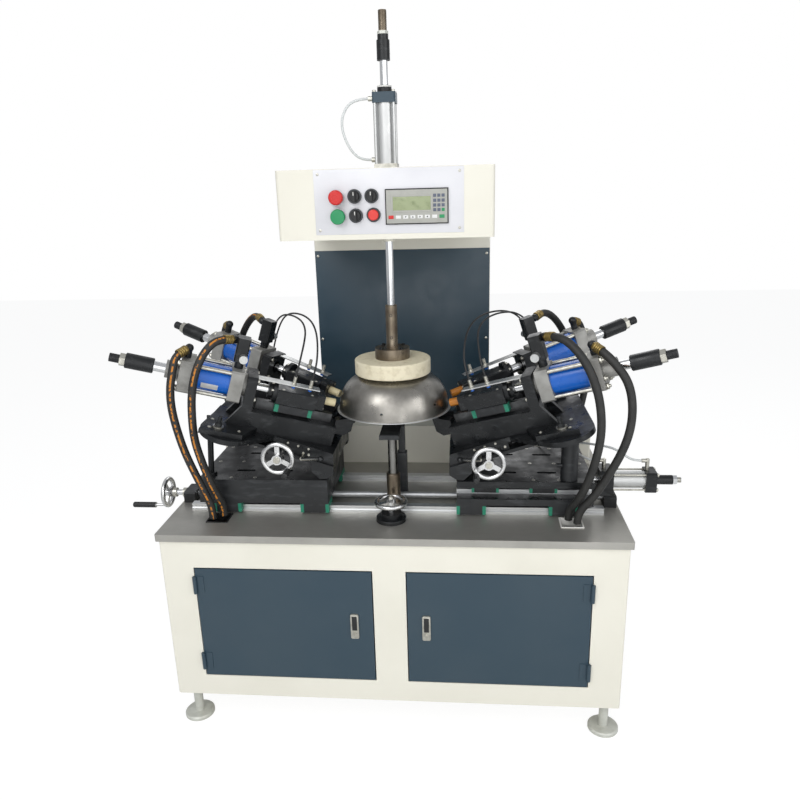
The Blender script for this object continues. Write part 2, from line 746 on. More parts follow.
@dataclass
class Housing:
    """The painted sheet housings, the steel tabletop and what is fixed to them."""

    plate_half: float = 304.5
    plate_z: tuple[float, float] = (817.0, 1420.0)
    plate_y: float = 225.0
    plate_thickness: float = 3.0
    plate_screws: tuple[tuple[float, float], ...] = (
        (-294.0, 1402.0), (294.0, 1402.0), (-294.0, 1106.0), (294.0, 1106.0), (-294.0, 850.0), (294.0, 850.0))
    door_front: float = -474.5
    lock_x: float = 106.0
    lock_z: float = 386.8
    lock_proud: float = 5.0
    tray: tuple[float, float] = (21.0, 76.0)
    paddle_half: float = 7.5
    paddle_z: tuple[float, float] = (-12.0, 34.0)
    key_drop: float = 25.0

    def build(self) -> None:
        """Dress the housings and make the plate, its screws and the door locks."""
        for node in ("cabinet", "column"):
            dress(node, CREAM)
        dress("rear_box", CREAM, [(ZINC, lambda p: p.z > 815.5 or p.y < 102.5)])
        dress("tabletop", STAINLESS)
        dress("hose_liners", BLACK_PLASTIC, [(WHITE_PLASTIC, lambda p: p.x > 0 and p.y < 0)])
        dress("levelling_feet", PALE_ZINC)
        dress("power_unit", HAMMERED)
        self.back_plate()
        for side in Side:
            dress("door_" + side.value, SLATE, [(ZINC, self.on_lock)])
            self.lock(side)

    def on_lock(self, point: Vector) -> bool:
        """Tell whether a point lies on a door's lock."""
        return point.y < self.door_front - 0.1 and 93.5 < abs(point.x) < 118.5

    def back_plate(self) -> None:
        """The plain blue plate screwed to the column's front."""
        front = self.plate_y - self.plate_thickness
        plate = Piece("back_plate", "frame", "door_paint", SLATE)
        plate.add(block((-self.plate_half, front, self.plate_z[0]),
                        (self.plate_half, self.plate_y, self.plate_z[1]), 0.8)).place()
        places = [facing(TO_FRONT, (x, front, z)) for x, z in self.plate_screws]
        head = turned([(0, 2.4), (2.2, 2.2), (4.6, 0.9), (5.0, 0), (0, 0)], 20)
        bright("back_plate_screws", "frame").add(head, *places).place()

    def lock(self, side: Side) -> None:
        """A paddle lock: a recessed tray, the paddle and its key cylinder.

        Args:
            side: The door it is on.
        """
        front = self.door_front - self.lock_proud
        middle = side.sign * self.lock_x
        body = "door_" + side.value
        across, up = self.tray[0] / 2, self.tray[1] / 2
        tray = block((middle - across, front - 0.6, self.lock_z - up),
                     (middle + across, front + 0.2, self.lock_z + up), 0.4)
        bright("lock_tray_" + side.value, body).add(tray).place()
        paddle = block((middle - self.paddle_half, front - 2.2, self.lock_z + self.paddle_z[0]),
                       (middle + self.paddle_half, front - 0.3, self.lock_z + self.paddle_z[1]), 0.8)
        Piece("lock_paddle_" + side.value, body, "black_plastic", BLACK_PLASTIC).add(paddle).place()
        barrel = turned([(0, 2.0), (1.2, 2.0), (1.2, 3.2), (5.0, 3.2), (5.6, 2.4), (5.6, 0), (0, 0)], 28)
        key = facing(TO_FRONT, (middle, front, self.lock_z - self.key_drop))
        bright("lock_key_" + side.value, body).add(barrel, key).place()


@dataclass
class ControlPanel:
    """The control box with its silver panel, display, keys, buttons and selectors."""

    face: float = -275.0
    plate_x: tuple[float, float] = (-193.0, 217.0)
    plate_z: tuple[float, float] = (1503.5, 1676.5)
    plate_proud: float = 1.2
    screw_inset: float = 12.0
    display: tuple[float, float] = (89.0, 1575.0)
    display_half: tuple[float, float] = (83.0, 44.0)
    display_front: float = -284.0
    window_x: tuple[float, float] = (24.0, 127.0)
    window_z: tuple[float, float] = (1565.0, 1601.0)
    border_width: float = 5.0
    bezel_front: float = -280.2
    operator_back: float = -284.4
    key_proud: float = 1.9
    key_columns: tuple[float, ...] = (137.9, 149.3, 160.6)
    key_rows: tuple[float, ...] = (1602.5, 1589.5, 1577.1, 1565.0)
    key_half: float = 4.2
    bottom_keys: tuple[float, ...] = (18.4, 38.5, 58.4, 78.0, 97.8, 117.4, 137.2, 157.2)
    bottom_z: float = 1547.6
    bottom_half: tuple[float, float] = (7.0, 4.6)
    arrow_turns: tuple[float, ...] = (180.0, 0.0, 90.0, -90.0)
    stop: tuple[float, float] = (-131.0, 1603.0)
    start: tuple[float, float] = (-128.0, 1552.0)
    start_front: float = -287.6
    lamp: tuple[float, float] = (-30.0, 1555.0)
    selectors: tuple[tuple[float, float], ...] = ((-81.0, 1605.0), (-34.0, 1605.0), (-79.0, 1554.0))
    grip_front: float = -303.5

    def build(self) -> None:
        """Dress the box and the operators and make what lies on the panel."""
        dress("control_box", CREAM, [(BLACK_PLASTIC, lambda p: p.y < self.face - 0.3)])
        for node, finish in (("stop_button", RED), ("start_button", GREEN), ("lamp_button", LAMP)):
            dress(node, finish, [(BLACK_PLASTIC, lambda p: p.y > self.operator_back)])
        self.plate()
        self.operators()
        self.screen()
        self.keys()

    def plate(self) -> None:
        """The brushed panel plate and its screws."""
        front = self.face - self.plate_proud
        (left, right), (bottom, top), inset = self.plate_x, self.plate_z, self.screw_inset
        sheet = block((left, front, bottom), (right, self.face, top), 0.5)
        Piece("panel_plate", "frame", "barrel_aluminium", PANEL).add(sheet).place()
        places = [facing(TO_FRONT, (x, front, z))
                  for x in (left + inset, right - inset) for z in (bottom + inset, top - inset)]
        head = turned([(0, 1.4), (1.6, 1.3), (3.6, 0.6), (4.0, 0), (0, 0)], 20)
        bright("panel_screws", "frame").add(head, *places).place()

    def operators(self) -> None:
        """Ring nuts round each operator, the start button's cap and the selectors' white lines."""
        nut = turned([(15.2, -0.2), (18.6, -0.2), (19.2, 0.0), (19.3, 3.6), (18.2, 4.6), (15.2, 4.6),
                      (15.2, -0.2)])
        spots = [facing(TO_FRONT, (x, self.bezel_front + 0.4, z))
                 for x, z in (self.stop, self.start, self.lamp, *self.selectors)]
        Piece("operator_rings", "frame", "black_plastic", GREY_DARK).add(nut, *spots).place()
        dome = turned([(13.0, 0), (19.5, 0), (20.5, 1.0), (20.5, 6.0), (18.5, 8.6), (12.0, 9.4), (0, 9.6)])
        at_start = facing(TO_FRONT, (self.start[0], self.start_front, self.start[1]))
        Piece("start_mushroom", "start_button", "green_button", GREEN).add(dome, at_start).place()
        for number, (x, z) in enumerate(self.selectors, 1):
            body = "selector_%d" % number
            dress(body, BLACK_PLASTIC)
            line = block((x - 1.1, self.grip_front - 0.3, z + 2.0),
                         (x + 1.1, self.grip_front + 0.4, z + 11.5), 0.2)
            Piece("selector_line_%d" % number, body, "liner_plastic", WHITE_PLASTIC).add(line).place()

    def screen(self) -> None:
        """The display's face, its window and the border round it."""
        (x, z), (across, up) = self.display, self.display_half
        front = self.display_front
        face = block((x - across, front - 0.8, z - up), (x + across, front + 0.5, z + up), 0.4)
        Piece("display_face", "frame", "black_plastic", GREY_PLASTIC).add(face).place()
        (left, right), (bottom, top), width = self.window_x, self.window_z, self.border_width
        glass = block((left, front - 1.4, bottom), (right, front, top), 0.3)
        Piece("display_window", "frame", "black_plastic", CRYSTAL).add(glass).place()
        border = Piece("display_border", "frame", "black_plastic", GREY_PLASTIC)
        for low, high in (((left - width, bottom - width), (left, top + width)),
                          ((right, bottom - width), (right + width, top + width)),
                          ((left, bottom - width), (right, bottom)), ((left, top), (right, top + width))):
            border.add(block((low[0], front - 1.7, low[1]), (high[0], front, high[1]), 0.3))
        border.place()

    def keys(self) -> None:
        """The keypad beside the window, the row of keys under it and the arrows on four of them."""
        front, top = self.display_front, self.display_front - self.key_proud
        pale = Piece("display_keys", "frame", "liner_plastic", KEY_GREY)
        dark = Piece("display_number_keys", "frame", "black_plastic", KEY_DARK)
        green = Piece("display_key_green", "frame", "green_button", GREEN)
        red = Piece("display_key_red", "frame", "red_button", RED)
        arrows = Piece("display_arrows", "frame", "black_plastic", BLACK_PLASTIC)
        half = self.key_half
        for x in self.key_columns:
            for z in self.key_rows:
                last = x == self.key_columns[-1] and z == self.key_rows[-1]
                key = block((x - half, top, z - half), (x + half, front, z + half), 0.8)
                (green if last else dark).add(key)
        across, up = self.bottom_half
        ends = {0: red, len(self.bottom_keys) - 1: green}
        for number, x in enumerate(self.bottom_keys):
            key = block((x - across, top, self.bottom_z - up), (x + across, front, self.bottom_z + up), 0.8)
            ends.get(number, pale).add(key)
        for x, turn in zip(self.bottom_keys[2:], self.arrow_turns):
            spin = Matrix.Rotation(math.radians(turn), 4, "Y") @ Matrix.Rotation(math.radians(90), 4, "X")
            arrow = prism([(-2.6, -1.8), (2.6, -1.8), (0, 2.4)], 0.4)
            arrows.add(arrow, moved_to(x, top, self.bottom_z) @ spin)
        for piece in (pale, dark, green, red, arrows):
            piece.place()


@dataclass
class Press:
    """The upright air cylinder, its rod and the pad on the bowl."""

    barrel_low: float = 1691.0
    cap_low: float = 1847.0
    cap_top: float = 1875.0
    cap_screw: float = 26.0
    gland: tuple[float, float] = (13.3, 20.0)
    gland_top: float = 1888.5
    gland_ring: float = 4.0
    rod_radius: float = 11.5
    sleeve: tuple[float, float] = (1955.5, 2019.8)
    thread_low: float = 2030.0
    rod_top: float = 2079.0
    coupler: tuple[float, float] = (1163.0, 1293.0)
    coupler_face: float = 17.2
    set_screws: tuple[float, ...] = (1195.0, 1262.0)
    flange_circle: float = 43.0
    rim_top: float = 976.0

    def build(self) -> None:
        """Dress the cylinder, rod, pad and bowl, and add their small parts."""
        dress("press_cylinder", ANODISED, [
            (SLATE, lambda p: self.cap_low < p.z < self.cap_top + 1 and abs(p.x) < 33),
            (OXIDE, lambda p: p.z > self.cap_top + 0.5),
            (CREAM, lambda p: p.z < 1490),
            (ZINC, lambda p: p.z < self.barrel_low or p.x < -29)])
        dress("press_rod", CHROME, [
            (OXIDE, lambda p: self.on_sleeve(p, *self.sleeve)),
            (PALE_ZINC, lambda p: self.on_sleeve(p, self.sleeve[1] - 0.1, self.thread_low)),
            (BROWNED, lambda p: self.on_sleeve(p, self.coupler[0] - 1, self.coupler[1])),
            (BROWNED, lambda p: p.z > self.thread_low - 2 or p.z < self.coupler[0] + 0.5)])
        dress("press_pad", NYLON)
        dress("workpiece_bowl", SPUN, [(GROUND, lambda p: p.z < self.rim_top)])
        at_press = moved_to(0, PRESS_Y, 0)
        washer = ring(*self.gland, self.gland_top, self.gland_top + self.gland_ring)
        Piece("press_gland_ring", "frame", "liner_plastic", WHITE_PLASTIC).add(washer, at_press).place()
        nut = ring(*self.gland, self.cap_top + 0.2, self.gland_top)
        Piece("press_gland_nut", "frame", "black_oxide", OXIDE).add(nut, at_press).place()
        ridges = thread(10.9, self.rod_radius, self.thread_low, self.rod_top - 0.5, 2.0)
        bright("press_rod_thread", "press_slide", BROWNED).add(ridges, at_press).place()
        corners = [moved_to(dx * self.cap_screw, PRESS_Y + dy * self.cap_screw, self.cap_top)
                   for dx in (-1, 1) for dy in (-1, 1)]
        bright("press_cap_screws", "frame").add(socket_screw(5.0, 5.0), *corners).place()
        flange = bright("pad_flange_screws", "press_slide", OXIDE)
        flange.add(socket_screw(5.5, 5.0), *[
            moved_to(self.flange_circle * math.cos(turn), PRESS_Y + self.flange_circle * math.sin(turn),
                     self.coupler[0]) for turn in (math.radians(45 + 90 * k) for k in range(4))]).place()
        front = PRESS_Y - self.coupler_face
        on_coupler = [facing(TO_FRONT, (0, front, height)) for height in self.set_screws]
        screw = turned([(0, -1.0), (2.5, -1.0), (3.0, 0.6), (4.6, 0.6), (4.6, -2), (0, -2)], 20)
        bright("coupler_set_screws", "press_slide", OXIDE).add(screw, *on_coupler).place()

    def on_sleeve(self, point: Vector, low: float, high: float) -> bool:
        """Tell whether a point lies outside the rod's radius between two heights."""
        return low < point.z < high and math.hypot(point.x, point.y - PRESS_Y) > self.rod_radius


@dataclass
class Railway:
    """The rails, the lead screw, the two carriages and the infeed cylinder."""

    screw_y: float = -220.0
    screw_z: float = 696.0
    bearing: float = 639.0
    outer: float = 676.0
    journal: float = 9.0
    wheel_x: float = -742.0
    lower_runners: tuple[float, ...] = (194.0, 466.0)
    lower_block: float = 76.6
    lower_seal_z: float = 682.4
    upper_runners: tuple[float, ...] = (239.0, 411.0)
    upper_block: float = 72.6
    upper_seal_z: float = 742.4
    rail_gauge: tuple[float, float] = (120.0, 100.0)
    plate_z: float = 787.4
    plate_rows: tuple[float, ...] = (420.0, 494.0, 572.0)
    slab_rows: tuple[float, ...] = (235.0, 394.0, 555.0)
    slab_z: float = 722.5
    slab_front: float = 149.4
    tie_rod: float = 24.0
    tie_x: tuple[float, float] = (665.0, 802.0)
    infeed_y: float = -210.0
    infeed_z: float = 750.0

    def build(self) -> None:
        """Dress the slideways and make the threaded screw, end seals, screws and plugs."""
        dress("guide_rails", GROUND)
        dress("table_brackets", OXIDE, [
            (BROWNED, lambda p: abs(p.x) < 25 and p.y < -240),
            (OXIDE_DULL, lambda p: abs(p.x) < 60)])
        dress("screw_wheel", POLISHED, [(BLACK_PLASTIC, lambda p: p.x < -776.5)])
        dress("carriage_left", OXIDE, [(OXIDE_DULL, lambda p: p.z < 768.4)])
        dress("carriage_right", OXIDE, [(GROUND, self.on_upper_rail), (ZINC, self.on_elbow),
                                        (OXIDE_DULL, lambda p: p.z < 732.4)])
        dress("infeed_table", OXIDE, [
            (OXIDE, lambda p: 795 < p.x < 847.5), (CHROME, lambda p: p.x > 600 and p.z < 770),
            (OXIDE_DULL, lambda p: 490 < p.x < 560 and p.y < -270 and p.z > 789)])
        dress("infeed_cylinder", ANODISED, [
            (ZINC, lambda p: p.z > 782.2), (OXIDE, lambda p: p.x > 762.5)])
        self.screw()
        for side in Side:
            self.seals(side)
            self.plate_screws(side)
        self.infeed()

    def on_upper_rail(self, point: Vector) -> bool:
        """Tell whether a point lies on the small rails of the right side's second level."""
        return 732.4 < point.z < 747 and abs(abs(point.y - PRESS_Y) - 100) < 8.2 and point.x < 595

    def on_elbow(self, point: Vector) -> bool:
        """Tell whether a point lies on the elbow above the bracket."""
        return point.z > 789.2 and point.x > 600

    def screw(self) -> None:
        """The lead screw with its trapezoidal thread between plain journals."""
        along = facing((1, 0, 0), (0, self.screw_y, self.screw_z))
        piece = bright("lead_screw_threaded", "lead_screw", GROUND)
        piece.add(thread(8.6, 10.0, -self.bearing + 1, self.bearing - 1, 4.0, 24), along)
        piece.add(rod(self.journal, self.wheel_x, -self.bearing + 1, 0.3), along)
        piece.add(rod(self.journal, self.bearing - 1.5, self.outer, 0.3), along)
        piece.place(["lead_screw"])
        collar = bright("screw_collars", "lead_screw")
        for x in (-self.outer - 14, self.wheel_x + 18):
            collar.add(ring(self.journal, 15.0, x, x + 12), along)
        collar.place()
        at_wheel = facing((-1, 0, 0), (self.wheel_x, self.screw_y, self.screw_z))
        bright("wheel_nut", "lead_screw").add(hexagon(9.0, 15.2, 23.0), at_wheel).place()

    def seals(self, side: Side) -> None:
        """The green end seals of one side's linear blocks.

        Args:
            side: The carriage's side.
        """
        lower, upper = [(PRESS_Y - gauge, PRESS_Y + gauge) for gauge in self.rail_gauge]
        thick = 10.0
        piece = Piece("end_seals_" + side.value, "carriage_" + side.value, "green_button", SEAL_GREEN)
        for x in (start + step for start in self.lower_runners for step in (-0.6, self.lower_block)):
            near = x if side is Side.RIGHT else -x - thick
            piece.add(prism(seal_outline(61.0, 29.9, 23.8, 16.4), thick),
                      *[moved_to(near, y, self.lower_seal_z) @ ON_SIDE for y in lower])
        piece.place()
        if side is Side.LEFT:
            return
        piece = Piece("upper_end_seals", "infeed", "green_button", SEAL_GREEN)
        for x in (start + step for start in self.upper_runners for step in (-0.6, self.upper_block)):
            piece.add(prism(seal_outline(47.0, 25.9, 15.8, 4.8), 8),
                      *[moved_to(x, y, self.upper_seal_z) @ ON_SIDE for y in upper])
        piece.place()

    def plate_screws(self, side: Side) -> None:
        """Screws sunk in a carriage's top plate and in the front of the slab below.

        Args:
            side: The carriage's side.
        """
        body = "infeed" if side is Side.RIGHT else "carriage_left"
        places = [moved_to(side.sign * x, PRESS_Y + y, self.plate_z)
                  for x in self.plate_rows for y in (-132.0, 0.0, 132.0)]
        bright("plate_screws_" + side.value, body).add(socket_screw(6.0, 1.4), *places).place()
        spots = [facing(TO_FRONT, (side.sign * x, PRESS_Y - self.slab_front, self.slab_z))
                 for x in self.slab_rows]
        front = bright("slab_screws_" + side.value, "carriage_" + side.value, OXIDE_DULL)
        front.add(socket_screw(5.0, 1.6), *spots).place()

    def infeed(self) -> None:
        """Tie rods, nuts and thread of the infeed cylinder."""
        corners = [facing((1, 0, 0), (0, self.infeed_y + dy, self.infeed_z + dz))
                   for dy in (-self.tie_rod, self.tie_rod) for dz in (-self.tie_rod, self.tie_rod)]
        rods = bright("infeed_tie_rods", "carriage_right").add(rod(3.0, *self.tie_x, 0.3, 16), *corners)
        rods.add(hexagon(6.0, 795.0, 800.0, 0.4), *corners).place()
        along = facing((1, 0, 0), (0, self.infeed_y, self.infeed_z))
        bright("infeed_rod_thread", "infeed").add(thread(7.9, 8.4, 859.6, 872.6, 1.5), along).place()


@dataclass
class TiltStack:
    """One side's tilt table, sector table and cross wheel."""

    side: Side
    front: float = -321.0
    screw_proud: float = 0.4
    wheel_y: float = -400.0
    wheel_z: float = -155.0
    hub_half: float = 26.0
    table_z: float = -150.0
    table_screws: tuple[float, ...] = (25.0, 42.0, 118.0, 200.0)
    sector_z: float = -132.5
    sector_screws: tuple[float, ...] = (30.0, 62.0, 94.0, 150.0)

    def build(self) -> None:
        """Dress the tables and the wheel, and add the screws that show on their edges."""
        name = self.side.value
        place = tilted(self.side)
        local = place.inverted()
        dress("tilt_table_" + name, OXIDE, [(ZINC, lambda p: p.y < -331 and p.z < -150)], local)
        dress("sector_table_" + name, OXIDE, [
            (ZINC, lambda p: -109.8 < p.z < -105.6), (OXIDE_DULL, lambda p: p.z > -105.7)], local)
        dress("cross_wheel_" + name, POLISHED, [(BLACK_PLASTIC, lambda p: p.y < self.wheel_y - 33.5)])
        shaft = 100.0 if self.side is Side.LEFT else 64.0
        front = self.front + self.screw_proud
        edge = [place @ facing(TO_FRONT, (x, front, self.table_z))
                for x in self.table_screws if abs(x - shaft) > self.hub_half]
        bright("tilt_screws_" + name, "tilt_" + name).add(socket_screw(4.0, 1.6), *edge).place()
        ledge = [place @ facing(TO_FRONT, (x, front, self.sector_z)) for x in self.sector_screws]
        bright("sector_screws_" + name, "cross_" + name).add(socket_screw(3.6, 1.6), *ledge).place()
        hub = place @ Vector((shaft, self.wheel_y, self.wheel_z))
        at_hub = facing(TO_FRONT, (hub.x, self.wheel_y - 15.0, hub.z))
        bright("wheel_cap_" + name, "cross_wheel_" + name).add(sunk_cap(10.0, 3.6, 2.0, 4.0), at_hub).place()


@dataclass(frozen=True)
class Port:
    """The elbow of a hose in its head's frame, with its outlet's yaw and drop in degrees."""

    along: float
    height: float
    yaw: float
    drop: float

    def direction(self) -> Vector:
        """The direction in which the hose leaves the elbow."""
        yaw, drop = math.radians(self.yaw), math.radians(self.drop)
        return Vector((math.cos(drop) * math.cos(yaw), -math.cos(drop) * math.sin(yaw), -math.sin(drop)))

    def point(self, distance: float) -> Vector:
        """A point at a distance beyond the elbow's middle."""
        return Vector((self.along, 0, self.height)) + self.direction() * distance


PORTS = {"cap": Port(448.0, 75.0, 45.0, 25.0), "valve": Port(330.0, 128.0, 40.0, 0.0)}


@dataclass
class PunchHead:
    """One punch head: its base, cylinder, slide, rod, sensors and fittings."""

    row: Row
    side: Side
    rail_x: tuple[float, float] = (0.0, 232.6)
    rail_z: tuple[float, float] = (-63.5, -35.6)
    rail_half: float = 10.5
    strip_x: tuple[float, float] = (60.0, 243.0)
    strip_y: tuple[float, float] = (-36.5, -5.5)
    strip_z: tuple[float, float] = (35.9, 39.1)
    sensor_x: tuple[float, float] = (80.0, 145.0)
    sensor_side: tuple[float, float] = (-28.0, -16.0)
    sensor_foot: float = 27.5
    die_x: tuple[float, float] = (-50.5, -44.5)
    die_radius: float = 12.5
    valve_foot: float = 47.2
    sleeve_x: tuple[float, float] = (532.5, 610.5)
    rod_nut_x: tuple[float, float] = (610.4, 625.5)
    thread_x: tuple[float, float] = (625.2, 652.5)
    stripper_end: float = 36.9
    stripper_radius: float = 12.6
    punch_end: float = 37.2
    punch_radius: float = 4.3
    block_foot: float = -28.1
    tie_rod: float = 37.5
    barrel_x: tuple[float, float] = (320.0, 424.0)
    barrel_radius: tuple[float, float] = (32.0, 41.6)
    cap_end: float = 462.0
    sensors_x: tuple[float, float] = (88.0, 138.0)
    sensor_y: float = -22.0
    label_x: tuple[float, float] = (350.0, 398.0)
    label_radius: float = 41.2

    def __post_init__(self) -> None:
        """Work out the head's names and frame."""
        self.key = "%s_%s" % (self.row.value, self.side.value)
        self.place = head_frame(self.row, self.side)
        self.head = "head_" + self.key
        self.punch = "punch_" + self.key

    def build(self) -> None:
        """Dress the four nodes and add the small parts."""
        local = self.place.inverted()
        dress("head_base_" + self.key, OXIDE, [
            (RAIL_DARK, self.on_rail), (ANODISED, self.on_strip), (ZINC, self.on_sensor),
            (GROUND, lambda p: within(p.x, self.die_x) and math.hypot(p.y, p.z) < self.die_radius)], local)
        dress("cylinder_" + self.key, CAST_GREY, [
            (ZINC, self.on_tie_rod), (BLUE, self.on_barrel), (ANODISED, self.on_knob),
            (OXIDE, lambda p: p.z > self.valve_foot)], local)
        dress("piston_rod_" + self.key, CHROME, [
            (OXIDE, lambda p: within(p.x, self.sleeve_x)), (ZINC, lambda p: within(p.x, self.rod_nut_x)),
            (OXIDE_DULL, lambda p: p.x > self.rod_nut_x[1] - 0.5)], local)
        dress("punch_slide_" + self.key, OXIDE, [
            (GROUND, lambda p: p.x < self.punch_end and math.hypot(p.y, p.z) < self.punch_radius),
            (AMBER_URETHANE if self.side is Side.RIGHT else CREAM_URETHANE,
             lambda p: p.x < self.stripper_end and math.hypot(p.y, p.z) < self.stripper_radius),
            (OXIDE_DULL, lambda p: p.z < self.block_foot)], local)
        self.seals()
        self.fasteners()
        self.sensors()
        self.fittings()
        if self.side is Side.LEFT:
            self.label()

    def on_rail(self, point: Vector) -> bool:
        """Tell whether a point of the head's frame lies on the rail."""
        return abs(point.y) < self.rail_half and within(point.z, self.rail_z) and within(point.x, self.rail_x)

    def on_strip(self, point: Vector) -> bool:
        """Tell whether a point of the head's frame lies on the strip that carries the sensors."""
        return (within(point.x, self.strip_x) and within(point.y, self.strip_y)
                and within(point.z, self.strip_z))

    def on_sensor(self, point: Vector) -> bool:
        """Tell whether a point of the head's frame lies on a sensor."""
        return (within(point.x, self.sensor_x) and within(point.y, self.sensor_side)
                and point.z > self.sensor_foot)

    def on_tie_rod(self, point: Vector) -> bool:
        """Tell whether a point of the head's frame lies on a tie rod."""
        beside = math.hypot(abs(point.y) - self.tie_rod, abs(point.z) - self.tie_rod)
        return within(point.x, self.barrel_x) and beside < 6.4

    def on_barrel(self, point: Vector) -> bool:
        """Tell whether a point of the head's frame lies on the barrel."""
        return within(point.x, self.barrel_x) and within(math.hypot(point.y, point.z), self.barrel_radius)

    @staticmethod
    def on_knob(point: Vector) -> bool:
        """Tell whether a point of the head's frame lies on the valve's knob."""
        return point.z > 60 and point.y < -19.2 and point.x < 312

    def piece(self, name: str, body: str, slot: str = "ground_steel", finish: Finish = ZINC) -> Piece:
        """Start a piece of this head, of zinc plated steel unless another finish is given."""
        return Piece("%s_%s" % (name, self.key), body, slot, finish)

    def at(self, x: float, y: float, z: float) -> Matrix:
        """A place in the head's frame for a shape that stands upright there."""
        return self.place @ moved_to(x, y, z)

    def out(self, x: float, y: float, z: float) -> Matrix:
        """A place in the head's frame for a shape that points out, away from the bowl."""
        return self.place @ facing((1, 0, 0), (x, y, z))

    def inward(self, x: float, y: float, z: float) -> Matrix:
        """A place in the head's frame for a shape that points at the bowl."""
        return self.place @ facing((-1, 0, 0), (x, y, z))

    def seals(self) -> None:
        """The green end seals of the linear block under the punch block."""
        places = [self.at(x, 0, -54.1) @ ON_SIDE for x in (65.5, 166.5)]
        seal = prism(seal_outline(60.8, 26.2, 21.2, 18.6), 12)
        self.piece("slide_seals", self.punch, "green_button", SEAL_GREEN).add(seal, *places).place()

    def fasteners(self) -> None:
        """Screws, nuts and rod threads of the head."""
        on_slide = self.piece("slide_screws", self.punch)
        on_slide.add(socket_screw(5.2, 1.4), *[self.at(x, y, 17.4) for x in (78, 164) for y in (-30, 30)])
        on_slide.add(socket_screw(4.4, 2.4), *[self.inward(37.6, y, z) for y in (-26, 26) for z in (-18, 14)])
        turns = [math.radians(degrees) for degrees in (20, 70, 110, 160)]
        circle = [self.out(192, 28 * math.cos(turn), 28 * math.sin(turn)) for turn in turns]
        on_slide.add(socket_screw(4.6, 7.0), *circle).place()
        on_base = self.piece("base_screws", self.head)
        clamps = [self.at(x, y, -110.4) for x, y in ((268, -96), (352, -100), (345, -40))]
        on_base.add(socket_screw(5.5, 1.6), *clamps)
        beside = (-self.tie_rod, self.tie_rod)
        mount = [self.inward(243.4, y, z) for y in beside for z in (-28, 30)]
        on_base.add(socket_screw(6.0, 6.0), *mount).place()
        corners = [self.out(self.cap_end, y, z) for y in beside for z in beside]
        nuts = self.piece("tie_rod_nuts", self.head).add(hexagon(9.0, 0, 8.0), *corners)
        nuts.add(rod(4.5, 7.0, 13.0, 0.5, 16), *corners).place()
        stud = self.piece("stud_nut", "cross_" + self.side.value, finish=OXIDE)
        stud.add(thread(5.8, 6.3, 0.2, 17.6, 1.5, 20), self.at(328, -92, -95.7)).place()
        ridges = self.piece("rod_thread", self.punch, finish=OXIDE_DULL)
        ridges.add(thread(11.8, 12.5, *self.thread_x, 1.9), self.out(0, 0, 0)).place()
        if self.side is Side.RIGHT:
            self.bleed_screws()

    def bleed_screws(self) -> None:
        """The bleed screws that stand out of the rear cap's end."""
        spots = [self.out(self.cap_end, y, z) for y, z in ((-20, 40), (-40, -14))]
        plugs = self.piece("bleed_plugs", self.head).add(hexagon(7.0, 0, 6.0), *spots)
        plugs.add(rod(4.0, 5.0, 12.0, 0.8, 16), *spots).place()

    def sensors(self) -> None:
        """Nuts, threads and blue tips of the two sensors."""
        spots = [self.at(x, self.sensor_y, 0) for x in self.sensors_x]
        nuts = self.piece("sensor_nuts", self.head)
        for low in (39.0, 32.0):
            nuts.add(hexagon(8.0, low, low + 4.0), *spots)
        nuts.add(thread(4.9, 5.3, 43.0, 60.0, 1.2, 20), *spots).place()
        tips = self.piece("sensor_tips", self.head, "cylinder_paint", TIP_BLUE)
        tips.add(rod(5.3, 26.6, 31.5, 0.5, 24), *spots).place()

    def fittings(self) -> None:
        """The brass swivel nut and crimped sleeve at the start of each hose."""
        sleeve = [(11.6, 11.0), (13.0, 11.0), (13.6, 13.0), (13.6, 17.0), (12.9, 18.0), (13.6, 19.0),
                  (13.6, 23.0), (12.9, 24.0), (13.6, 25.0), (13.6, 30.0), (12.6, 32.0), (11.6, 32.0),
                  (11.6, 11.0)]
        spots = [self.place @ facing(port.direction(), port.point(10.0)) for port in PORTS.values()]
        brass = self.piece("hose_fittings", self.head, finish=BRASS)
        brass.add(hexagon(14.5, 0, 11.0, 1.0), *spots).add(turned(sleeve, 32), *spots).place()

    def label(self) -> None:
        """A blank foil label on the barrel's side that faces out."""
        shape = bmesh.new()
        start, width = math.radians(188), math.radians(26)
        y, z = self.label_radius * math.cos(start), self.label_radius * math.sin(start)
        corners = [shape.verts.new((x, y, z)) for x in self.label_x]
        edge = shape.edges.new(corners)
        bmesh.ops.spin(shape, geom=corners + [edge], axis=(1, 0, 0), cent=(0, 0, 0), angle=width, steps=8)
        bmesh.ops.solidify(shape, geom=shape.faces[:], thickness=0.3)
        self.piece("barrel_label", self.head, "barrel_aluminium", LABEL).add(shape, self.place).place()


@dataclass
class Support:
    """The lift post under the bowl with its wheel."""

    wheel_y: float = -358.0
    wheel_z: float = 733.0

    def build(self) -> None:
        """Dress the post, its pad and the wheel on its stepped disc."""
        dress("support_post", OILED, [(OXIDE_DULL, lambda p: 917.5 < p.z < 932.5 or p.z > 1071)])
        dress("post_wheel", POLISHED, [(OXIDE, lambda p: p.z < 702.6)])
        at_hub = moved_to(0, self.wheel_y, self.wheel_z + 14.8)
        bright("post_wheel_nut", "post_wheel").add(sunk_cap(9.0, 4.6, 3.0, 3.2), at_hub).place()


class Line(Enum):
    """The kinds of flexible line, with their radius in millimetres and stiffness."""

    HOSE = (11.5, "stiff")
    CABLE = (2.8, "medium")
    AIR = (3.5, "medium")


